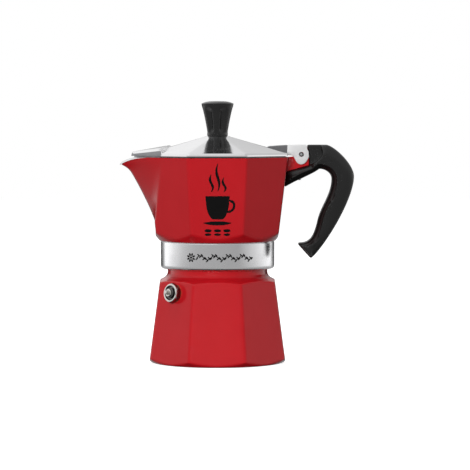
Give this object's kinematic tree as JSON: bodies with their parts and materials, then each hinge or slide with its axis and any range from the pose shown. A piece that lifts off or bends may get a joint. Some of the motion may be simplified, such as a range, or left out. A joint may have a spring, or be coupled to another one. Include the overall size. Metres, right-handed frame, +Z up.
{
  "type": "moka pot",
  "caption": "Stovetop moka pot: faceted boiler with safety valve, screw-on collector with spout, hinged lid with fluted knob, and side handle.",
  "frame": {"origin": "centre of the boiler's flat base, where it stands on the hob", "axes": "+Z up along the pot's axis, -X towards the spout, +X towards the handle, -Y towards the viewer's front"},
  "size_m": [0.1489, 0.088, 0.1645],
  "materials": {
    "enamel_red": "glossy red enamel over die-cast aluminium",
    "cast_aluminium": "polished die-cast aluminium",
    "spun_aluminium": "satin spun aluminium",
    "plated_brass": "nickel-plated turned brass",
    "zinc_steel": "bright zinc-plated steel",
    "spring_steel": "drawn spring wire",
    "black_plastic": "satin moulded phenolic plastic",
    "silicone": "soft translucent white silicone"
  },
  "bodies": {
    "boiler": {"boiler": "enamel_red", "valve_washer": "plated_brass", "valve_body": "plated_brass", "valve_retainer": "plated_brass", "valve_spring": "spring_steel"},
    "valve_piston": {"valve_piston": "plated_brass", "valve_seal": "silicone"},
    "funnel": {"funnel_basket": "spun_aluminium", "funnel_tube": "spun_aluminium", "funnel_filter": "spun_aluminium"},
    "collector": {"collector": "enamel_red", "gasket": "silicone", "filter_plate": "spun_aluminium", "handle": "black_plastic", "handle_screw": "zinc_steel", "hinge_pin": "zinc_steel"},
    "lid": {"lid": "cast_aluminium", "knob": "black_plastic", "knob_insert": "plated_brass", "knob_screw": "zinc_steel"}
  },
  "joints": [
    {"name": "collector_turn", "type": "hinge", "parent": "funnel", "child": "collector", "pos_m": [0, 0, 0.0686], "axis": [0, 0, 1], "range_deg": [0, 900]},
    {"name": "funnel_lift", "type": "slide", "parent": "boiler", "child": "funnel", "axis": [0, 0, 1], "range_m": [0, 0.0076]},
    {"name": "lid_hinge", "type": "hinge", "parent": "collector", "child": "lid", "pos_m": [0.0526, 0, 0.1311], "axis": [0, 1, 0], "range_deg": [0, 105]},
    {"name": "valve_lift", "type": "slide", "parent": "boiler", "child": "valve_piston", "axis": [-0.7012, -0.7012, 0.1287], "range_m": [0, 0.0012], "stiffness_N_per_m": 400, "springref_m": -0.0005, "deforming": ["valve_spring"]}
  ],
  "couplings": [
    {"joint": "funnel_lift", "follows": "collector_turn", "m_per_rad": 0.00047746}
  ]
}
